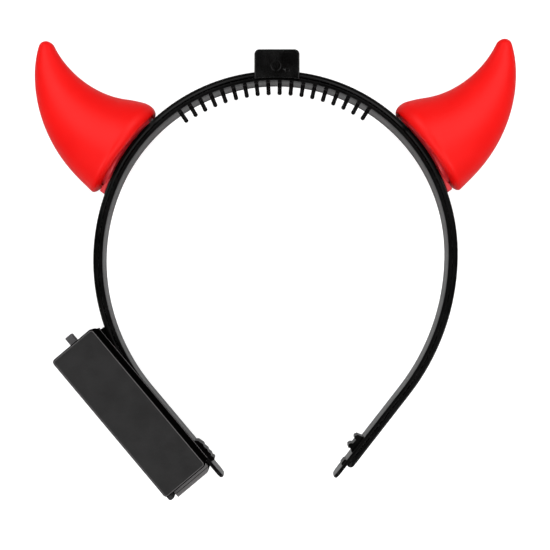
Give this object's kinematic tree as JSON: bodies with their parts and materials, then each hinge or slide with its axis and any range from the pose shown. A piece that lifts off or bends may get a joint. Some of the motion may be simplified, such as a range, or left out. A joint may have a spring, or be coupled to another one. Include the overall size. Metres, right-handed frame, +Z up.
{
  "type": "light-up horn headband",
  "caption": "Rigid comb headband with a pair of curved soft horns on translucent light bases and a slim battery case on one leg.",
  "frame": {"origin": "bottom centre of the bounding box, the headband lying on its side with its front edge up", "axes": "+Z up, from the rear edge to the front edge of the band; +Y from the open ends toward the crown; +X toward the right-hand horn in the picture"},
  "size_m": [0.1778, 0.169, 0.026],
  "materials": {
    "comb_black": "satin moulded",
    "moulded_black": "satin moulded",
    "housing_black": "satin moulded",
    "horn_red_left": "soft matte vinyl",
    "horn_red_right": "soft matte vinyl",
    "clear_red_left": "translucent gloss",
    "clear_red_right": "translucent gloss",
    "textured_black": "fine spark texture",
    "door_black": "fine spark texture",
    "switch_grey": "satin"
  },
  "bodies": {
    "headband": {"comb_band": "comb_black", "wire_cover": "moulded_black", "centre_housing": "housing_black", "horn_left": "horn_red_left", "horn_right": "horn_red_right", "horn_base_left": "clear_red_left", "horn_base_right": "clear_red_right", "battery_case": "textured_black"},
    "battery_door": {"battery_door": "door_black"},
    "switch_knob": {"switch_knob": "switch_grey"}
  },
  "joints": [
    {"name": "door_slide", "type": "slide", "parent": "headband", "child": "battery_door", "axis": [0.6424, -0.7664, 0], "range_m": [0, 0.045]},
    {"name": "switch_slide", "type": "slide", "parent": "headband", "child": "switch_knob", "axis": [0, 0, 1], "range_m": [0, 0.002]}
  ]
}
